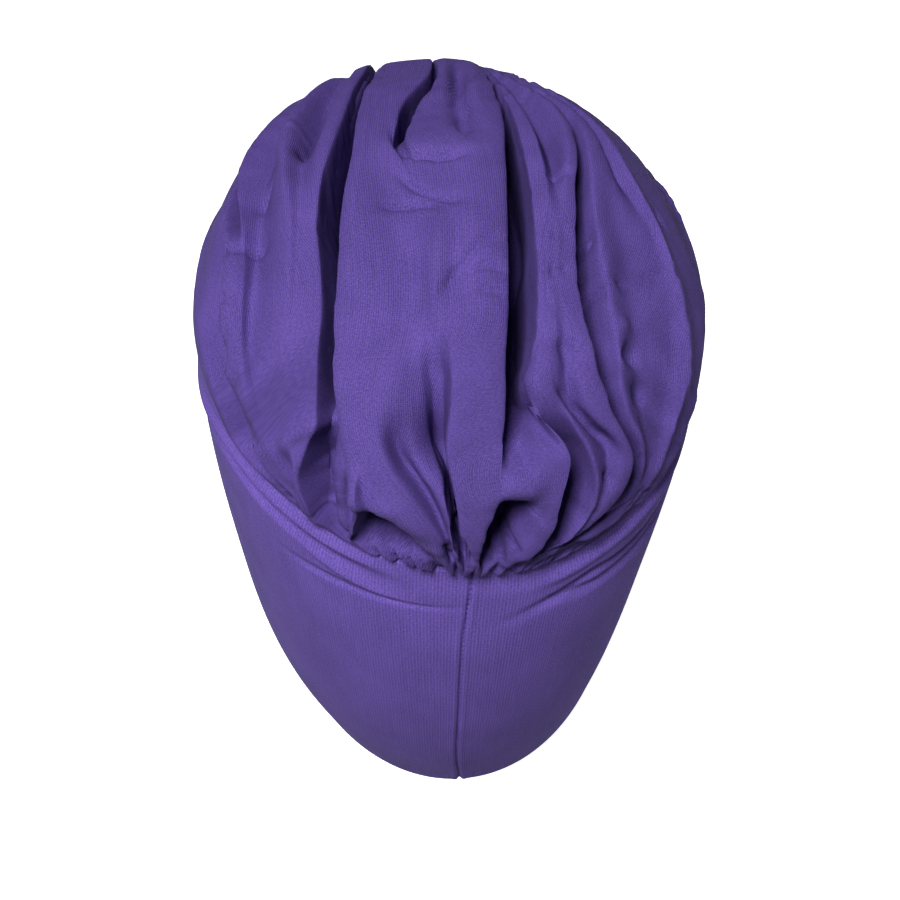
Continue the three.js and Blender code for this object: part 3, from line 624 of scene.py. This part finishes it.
PATH_PARTS = 6
LINE_OVERRUN = 0.5
LINE_FADE = 0.6
crease_rise = np.zeros(u.shape)
crease_shift = np.zeros(form.shape)
for row in CREASES:
    crease = dict(zip(CREASE_COLUMNS, row))
    after_first = steps - line_names.index(crease["first"]) + LINE_OVERRUN
    before_last = line_names.index(crease["last"]) + LINE_OVERRUN - steps
    shown = (ease(after_first / LINE_FADE) * ease(before_last / LINE_FADE))[:, None]
    path = crown_form(*drawn_path([seen_at(*pixel) for pixel in crease["pixels"]], PATH_PARTS))
    shape = [crease[name] for name in ("half_width", "height", "lean", "sharp", "over")]
    made_rise, made_shift = crease_height(form, outward, path, *shape)
    crease_rise += made_rise * shown
    crease_shift += made_shift * shown[..., None]

# Along the gathers the cloth is drawn up on its thread into small puckers, a
# little uneven, that fade out above the seam and towards the sides.
PUCKER = 3.3
PUCKER_DEPTH = 2.3
PUCKER_SHARPNESS = 0.7
PUCKER_REACH = 13
PUCKER_START = 1.2
PUCKERED_SHARE = 0.85
GATHER_RADIUS = 96
GATHER_TO_TOP = 122
arc = GATHER_HALF_ANGLE * u * GATHER_RADIUS
uneven_arc = arc
for drift, turns_per_mm, start in [(1.3, 0.41, 0.6), (0.7, 1.07, 2)]:
    uneven_arc = uneven_arc + drift * np.sin(arc * turns_per_mm + start)
pucker = 1 - 2 * np.abs(np.sin(pi * uneven_arc / PUCKER)) ** PUCKER_SHARPNESS
tight = np.exp(-((np.abs(u) / PUCKERED_SHARE) ** 4))
from_gather = (1 - np.abs(v)) * GATHER_TO_TOP
pucker_rise = -pucker * PUCKER_DEPTH * tight
pucker_rise = pucker_rise * ease(1 - from_gather / PUCKER_REACH) * ease(from_gather / PUCKER_START)


# Worn jersey is never quite smooth: it has low swells along the folds, small
# rucks across them where it is pushed together, and a light crumple.
LATTICE = 64


def swell(across, along, width, length, seed):
    """A smooth random height, -1 to 1, with swells of a width and length."""
    heights = np.random.default_rng(seed).uniform(-1, 1, (LATTICE, LATTICE))
    across, along = across / width + LATTICE // 2, along / length + LATTICE // 2
    i = np.floor(across).astype(int) % (LATTICE - 1)
    j = np.floor(along).astype(int) % (LATTICE - 1)
    s, t = ease(across % 1), ease(along % 1)
    near = heights[i, j] * (1 - s) + heights[i + 1, j] * s
    far = heights[i, j + 1] * (1 - s) + heights[i + 1, j + 1] * s
    return near * (1 - t) + far * t


def cloth_length(points, axis):
    """The cloth's length along one way of a grid, counted from its first row."""
    lengths = np.cumsum(np.linalg.norm(np.diff(points, axis=axis), axis=-1), axis)
    return np.concatenate([np.zeros_like(np.take(lengths, [0], axis)), lengths], axis)


BEND = 3
SWELL_HEIGHT = 0.55
RUCK_HEIGHT = 0.2
CRUMPLE_HEIGHT = 0.07
CALM_ENDS = 0.12
CALM_SIDES = 0.08
across = cloth_length(folded, 0)
along = cloth_length(form, 1)
bend = BEND * swell(across, along, width=26, length=30, seed=1)
swells = SWELL_HEIGHT * swell(across, along, width=13, length=42, seed=2)
rucks = (1 - 2 * np.abs(swell(across, along + bend, width=17, length=5.5, seed=3))) * RUCK_HEIGHT
rucks = rucks * ease(0.5 + swell(across, along, width=24, length=30, seed=4))
crumple = CRUMPLE_HEIGHT * swell(across + bend, along, width=5, length=7, seed=5)
lively = ease((1 - np.abs(v)) / CALM_ENDS) * ease((1 - np.abs(u)) / CALM_SIDES)
cloth_swell = (swells + rucks + crumple) * lively


# The cloth turns in over the seam allowance where it meets the band, and rolls
# up a little just above it.
def round_edge(distance, radius):
    """0 away from an edge and 1 at it, along a quarter circle."""
    return 1 - np.sqrt(1 - (1 - np.clip(distance / radius, 0, 1)) ** 2)


TURN_IN = 1.8
TURN_RADIUS = 1.8
SEAM_ROLL = 0.5
ROLL_PLACE = 3.2
ROLL_WIDTH = 1.8
LEVEL_STEP = 0.03
level_rise = np.linalg.norm(on_form(1 + LEVEL_STEP, angle) - on_form(1, angle), axis=-1)
from_seam = (level - 1) * (level_rise / LEVEL_STEP)
turned_in = -TURN_IN * round_edge(from_seam, TURN_RADIUS)
turned_in += SEAM_ROLL * np.exp(-(((from_seam - ROLL_PLACE) / ROLL_WIDTH) ** 2))
crown_outer = folded + cloth_outward * (pucker_rise + turned_in + cloth_swell)[..., None]
crease_move = crease_outward * crease_rise[..., None] + crease_shift
crown_outer = crown_outer + crease_move * near_seam[..., None]


def mesh_piece(name, points, faces, flat_places):
    """A mesh object in metres from points in mm, with a UV map in mm."""
    mesh = bpy.data.meshes.new(name)
    mesh.from_pydata((points * 0.001).tolist(), [], faces)
    mesh.update()
    corners = np.empty(len(mesh.loops), np.int32)
    mesh.loops.foreach_get("vertex_index", corners)
    cloth = mesh.uv_layers.new(name="cloth")
    cloth.data.foreach_set("uv", flat_places[corners].astype(np.float32).ravel())
    mesh.polygons.foreach_set("use_smooth", np.ones(len(mesh.polygons), bool))
    piece = bpy.data.objects.new(name, mesh)
    bpy.context.collection.objects.link(piece)
    return piece


INNER_EVERY = 3


def picks(count):
    """The fine lines that the inner face keeps: every third, and the last."""
    return np.array([*range(0, count - 1, INNER_EVERY), count - 1])


def lined_grid(name, outer, outer_flat, inner):
    """A closed cloth from a fine outer grid and a coarser inner one."""
    columns, count = outer.shape[:2]
    inside_columns, inside_rows = inner.shape[:2]
    across_picks, along_picks = picks(columns), picks(count)
    index = np.arange(columns * count).reshape(columns, count)
    inside = np.arange(inside_columns * inside_rows).reshape(inside_columns, inside_rows)
    inside = inside + columns * count

    def cells(grid, flipped):
        corners = [grid[:-1, :-1], grid[1:, :-1], grid[1:, 1:], grid[:-1, 1:]]
        if flipped:
            corners = corners[::-1]
        return np.stack([c.ravel() for c in corners], -1).tolist()

    faces = cells(index, False) + cells(inside, True)
    sides = [
        (index[:, 0], inside[:, 0], across_picks),
        (index[-1, :], inside[-1, :], along_picks),
        (index[:, -1], inside[:, -1], across_picks),
        (index[0, :], inside[0, :], along_picks),
    ]
    for side, (edge, inner_edge, kept) in enumerate(sides):
        for k in range(len(kept) - 1):
            run = edge[kept[k] : kept[k + 1] + 1].tolist()
            face = run[::-1] + [int(inner_edge[k]), int(inner_edge[k + 1])]
            faces.append(face if side < 2 else face[::-1])
    points = np.vstack([outer.reshape(-1, 3), inner.reshape(-1, 3)])
    inner_flat = outer_flat[np.ix_(across_picks, along_picks)]
    flat = np.vstack([outer_flat.reshape(-1, 2), inner_flat.reshape(-1, 2)])
    return mesh_piece(name, points, faces, flat)


def flat_lengths(points, axis, middle):
    """The cloth's length along one way of a grid, counted from a middle row."""
    lengths = cloth_length(points, axis)
    return lengths - np.take(lengths, [middle], axis)


middle_column = int(np.argmin(np.abs(steps - line_names.index("diagonal_ridge"))))
crown_flat = np.stack(
    [flat_lengths(folded, 0, middle_column), flat_lengths(form, 1, CROWN_ROWS // 2)],
    -1,
)

# The inner face has a third of the outer one's lines each way, so it lies
# under the lowest cloth near each of its points and never shows in a crease.
CLOTH = 0.9
EDGE_CLOTH_SHARE = 0.35
EDGE_CLOTH_FADE = 0.02
LOWEST_FADE = 0.03
nearby = range(2 * INNER_EVERY + 1)
lift = ((crown_outer - form) * outward).sum(-1)
padded_lift = np.pad(lift, INNER_EVERY, mode="edge")
across_low = np.min([padded_lift[k : k + lift.shape[0]] for k in nearby], axis=0)
lowest = np.min([across_low[:, k : k + lift.shape[1]] for k in nearby], axis=0)
thickness = EDGE_CLOTH_SHARE + (1 - EDGE_CLOTH_SHARE) * ease((level - 1) / EDGE_CLOTH_FADE)
inner_pull = CLOTH * thickness + (lift - lowest) * ease((level - 1) / LOWEST_FADE)
crown_inner = crown_outer - outward * inner_pull[..., None]
crown_inner = crown_inner[np.ix_(picks(len(steps)), picks(len(rows)))]
crown = lined_grid("crown", crown_outer, crown_flat, crown_inner)


def node(tree, kind, inputs, **settings):
    """Adds a node with its settings, and with its inputs set or linked."""
    made = tree.nodes.new(kind)
    for name, value in settings.items():
        setattr(made, name, value)
    for name, value in inputs.items():
        if isinstance(value, bpy.types.NodeSocket):
            tree.links.new(value, made.inputs[name])
        else:
            made.inputs[name].default_value = value
    return made


COURSE_SHARE = 0.8
TONE_BALANCE = -0.55
KNIT_RELIEF = 0.00007


def jersey(name, face, shade, wale, wobble):
    """Viscose jersey: a smooth dyed knit with fine upright wales, a wale and
    its wobble in mm, in a face colour that falls to a shade between threads."""
    cloth = bpy.data.materials.new(name)
    cloth.use_nodes = True
    tree = cloth.node_tree
    # The cloth's map is in mm, so a pattern of scale 0.05 repeats in 20 mm.
    place = node(tree, "ShaderNodeUVMap", {}, uv_map="cloth").outputs["UV"]
    parts = node(tree, "ShaderNodeSeparateXYZ", {"Vector": place})
    drift = node(tree, "ShaderNodeTexNoise", {"Vector": place, "Scale": 0.02, "Detail": 1.0})
    wander = node(
        tree,
        "ShaderNodeMath",
        {0: drift.outputs["Fac"], 1: wobble, 2: parts.outputs["X"]},
        operation="MULTIPLY_ADD",
    ).outputs[0]
    knit = []
    for along, width in [(wander, wale), (parts.outputs["Y"], wale * COURSE_SHARE)]:
        turns = node(tree, "ShaderNodeMath", {0: along, 1: 2 * pi / width}, operation="MULTIPLY")
        knit.append(node(tree, "ShaderNodeMath", {0: turns.outputs[0]}, operation="SINE").outputs[0])
    wales, courses = knit
    stretched = node(tree, "ShaderNodeMapping", {"Vector": place, "Scale": (0.9, 0.05, 1)}).outputs[0]
    streaks, fuzz, patches = (
        node(tree, "ShaderNodeTexNoise", {"Vector": where, "Scale": scale, "Detail": detail}).outputs["Fac"]
        for where, scale, detail in [(stretched, 1.0, 3.0), (place, 1.7, 2.0), (place, 0.05, 3.0)]
    )
    tone = 0.0
    for pattern, weight in [(wales, 0.13), (courses, 0.05), (streaks, 0.3), (fuzz, 1.3), (patches, 0.5)]:
        made = node(tree, "ShaderNodeMath", {0: pattern, 1: weight, 2: tone}, operation="MULTIPLY_ADD")
        tone = made.outputs[0]
    tone = node(tree, "ShaderNodeMath", {0: tone, 1: TONE_BALANCE}, operation="ADD").outputs[0]
    colours = node(tree, "ShaderNodeValToRGB", {"Fac": tone})
    for stop, position, colour in zip(colours.color_ramp.elements, (0.2, 0.8), (shade, face)):
        stop.position = position
        stop.color = linear(colour)
    relief = 0.0
    for pattern, weight in [(wales, 0.5), (courses, 0.25), (fuzz, 1.0)]:
        made = node(tree, "ShaderNodeMath", {0: pattern, 1: weight, 2: relief}, operation="MULTIPLY_ADD")
        relief = made.outputs[0]
    bump = node(tree, "ShaderNodeBump", {"Height": relief, "Strength": 1.0, "Distance": KNIT_RELIEF})
    shader = tree.nodes["Principled BSDF"]
    tree.links.new(colours.outputs["Color"], shader.inputs["Base Color"])
    tree.links.new(bump.outputs["Normal"], shader.inputs["Normal"])
    shader.inputs["Roughness"].default_value = 0.85
    shader.inputs["Specular IOR Level"].default_value = 0.08
    shader.inputs["Sheen Weight"].default_value = 0.02
    shader.inputs["Sheen Roughness"].default_value = 0.5
    shader.inputs["Sheen Tint"].default_value = linear("#A08CE0")
    return cloth


crown_jersey = jersey("crown jersey", face="#554389", shade="#3B2E63", wale=0.72, wobble=1.2)
crown.data.materials.append(crown_jersey)
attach(crown, "root")
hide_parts("crown_panel")


# The band is a tube of the same jersey, doubled, sewn up the centre back and
# stretched round the head. Its folded lower edge is the hem.
BAND_COLUMNS = 300
SEAM_COLUMNS = 40
SEAM_STRIP = radians(4)
BAND_ROWS = 210
ROW_CROWDING = 1.15
LOWEST_LEVEL = 0.002

# The band's creases and rolls lie just below the seam. Each is drawn through
# places on the form, an angle in degrees and a level each.
BAND_PATH_PARTS = 10
BAND_CREASE_COLUMNS = ["name", "half_width", "height", "lean", "sharp", "places"]
BAND_CREASES = [
    ("left valley", 4.5, -2.2, 0.2, 0.2,
     [(80, 0.84), (62.5, 0.92), (45, 0.935), (27.5, 0.935), (10, 0.925)]),
    ("left roll", 3.5, 1.6, 0, 0.1,
     [(86, 0.90), (62.5, 0.955), (45, 0.968), (27.5, 0.968), (12, 0.962)]),
    ("left low crease", 2.4, -1.0, 0.2, 0.4,
     [(40, 0.865), (20, 0.885), (0, 0.895)]),
    ("left seam crease", 1.4, 0.7, 0.3, 0.5,
     [(34, 0.92), (24, 0.905), (12, 0.895), (2, 0.90)]),
    ("right upper crease", 3.6, -1.8, -0.2, 0.4,
     [(-7.5, 0.85), (-24.5, 0.90), (-34.5, 0.888), (-60, 0.86)]),
    ("right low crease", 3.6, -1.5, -0.2, 0.4,
     [(-16, 0.88), (-35, 0.855), (-56, 0.83)]),
    ("right roll", 3.5, 1.4, 0, 0.1,
     [(-12, 0.935), (-30, 0.955), (-64, 0.94)]),
]
band_angle = np.linspace(SEAM_STRIP, pi, BAND_COLUMNS // 2 + 1)
seam_angle = np.linspace(-SEAM_STRIP, SEAM_STRIP, SEAM_COLUMNS + 1)[1:-1]
band_angle = np.concatenate([-band_angle[::-1], seam_angle, band_angle])
middle_back = len(band_angle) // 2
band_level = 1 - np.linspace(0, 1, BAND_ROWS + 1) ** ROW_CROWDING
band_levels, band_angles = np.meshgrid(band_level, band_angle)
band_form = on_form(band_levels, band_angles)
band_outward = form_outward(np.clip(band_levels, LOWEST_LEVEL, 1), band_angles)
band_outward[(band_outward * band_form * np.array([1, 1, 0])).sum(-1) < 0] *= -1
band_rise = np.zeros(band_levels.shape)
for row in BAND_CREASES:
    crease = dict(zip(BAND_CREASE_COLUMNS, row))
    crease_angle, crease_level = drawn_path(crease["places"], BAND_PATH_PARTS)
    path = on_form(crease_level, np.radians(crease_angle))
    shape = [crease[name] for name in ("half_width", "height", "lean", "sharp")]
    band_rise += crease_height(band_form, band_outward, path, *shape)[0]

# Below the gather the back of the band stands off the head a little.
SHOULDER = 2.0
SHOULDER_START = 12
SHOULDER_END = 14
SHOULDER_FADE = 60
from_top = flat_lengths(band_form, 1, 0)
shoulder = ease(from_top / SHOULDER_START) * (1 - ease((from_top - SHOULDER_END) / SHOULDER_FADE))
band_rise += SHOULDER * shoulder * np.clip(np.cos(band_angles), 0, 1)

# The centre-back seam is a groove that starts a little to the right of the
# middle, with its stitches showing across it like the rungs of a ladder.
STITCH = 2.1
RUNG = 0.30
GROOVE = 0.85
GROOVE_WIDTH = 0.6
SEAM_OFFSET = 1.7
OFFSET_REACH = 36
LIP = 0.2
LIP_PLACE = 1.6
LIP_WIDTH = 0.9
band_arc = flat_lengths(band_form, 0, middle_back)
across_seam = np.abs(band_arc + SEAM_OFFSET * (1 - ease(from_top / OFFSET_REACH)))
groove = GROOVE + RUNG * np.cos(2 * pi * from_top / STITCH)
band_rise -= groove * np.exp(-((across_seam / GROOVE_WIDTH) ** 2))
band_rise += LIP * np.exp(-(((across_seam - LIP_PLACE) / LIP_WIDTH) ** 2))

# The band is drawn in at the seam under the crown and rolls in at its hem.
SEAM_DIP = 1.6
SEAM_RADIUS = 1.8
HEM_ROLL = 1.1
BAND_WALL = 2.0
band_rise -= SEAM_DIP * round_edge(from_top, SEAM_RADIUS)
band_rise -= HEM_ROLL * round_edge(from_top[:, -1:] - from_top, HEM_ROLL)
band_outer = band_form + band_outward * band_rise[..., None]
halfway_ring = band_form[:, BAND_ROWS // 2 : BAND_ROWS // 2 + 1]
around = np.broadcast_to(flat_lengths(halfway_ring, 0, middle_back), from_top.shape)
band_flat = np.stack([around, from_top], -1)
band_inner = band_form - band_outward * BAND_WALL
band_inner = band_inner[np.ix_(picks(len(band_angle)), picks(BAND_ROWS + 1))]
band = lined_grid("band", band_outer, band_flat, band_inner)
# The band's colours are painted lighter than the crown's. This is painted light: it stands in for the key
# light that the band, facing back and down, gets too little of.
band_jersey_painted_lighter = jersey("band jersey painted lighter", face="#634E9E", shade="#473876", wale=0.95, wobble=0.6)
band.data.materials.append(band_jersey_painted_lighter)
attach(band, "root")
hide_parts("head_band")
